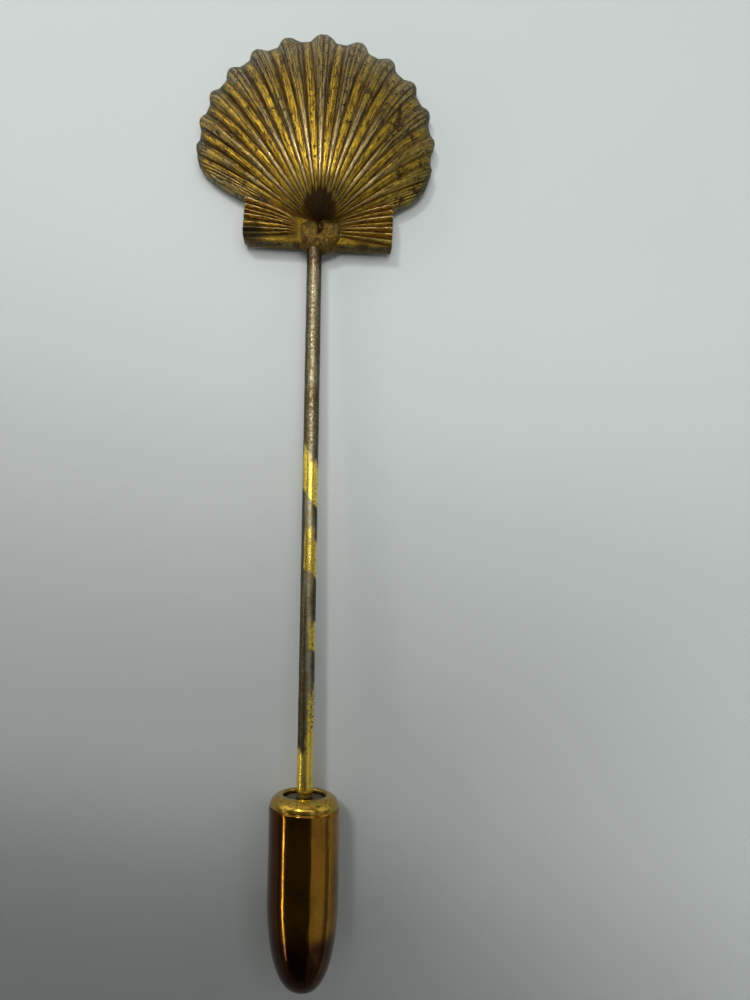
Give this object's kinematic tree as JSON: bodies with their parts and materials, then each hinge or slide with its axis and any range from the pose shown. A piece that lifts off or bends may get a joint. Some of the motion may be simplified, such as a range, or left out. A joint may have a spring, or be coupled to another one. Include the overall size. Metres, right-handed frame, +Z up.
{
  "type": "hat pin",
  "caption": "Hat pin with a ribbed scallop shell head in antique gilt on a straight wire stem, its point covered by a slide-on bullet guard.",
  "frame": {"origin": "on the table under the middle of the lying pin", "axes": "+Y along the pin from the guard to the shell, +Z up from the table through the shell's ribbed face, +X to the right seen from above with the shell at the top"},
  "size_m": [0.0178, 0.0678, 0.0055],
  "materials": {
    "shell_head": "antique gilt, worn on the ribs and dark in the grooves",
    "solder_mound": "rough gilt solder",
    "stem": "worn gilt over nickel",
    "guard_casing": "polished, tarnished",
    "guard_insert": "aged nylon"
  },
  "bodies": {
    "pin": {"shell_head": "shell_head", "solder_mound": "solder_mound", "stem": "stem"},
    "insert": {"guard_insert": "guard_insert"},
    "casing": {"guard_casing": "guard_casing"}
  },
  "joints": [
    {"name": "guard_slide", "type": "slide", "parent": "pin", "child": "insert", "axis": [0, -0.9996, 0.0297], "range_m": [0, 0.012]},
    {"name": "guard_turn", "type": "hinge", "parent": "insert", "child": "casing", "pos_m": [0.00005, -0.02166, 0.00235], "axis": [0, -0.9996, 0.0297], "continuous": true}
  ]
}
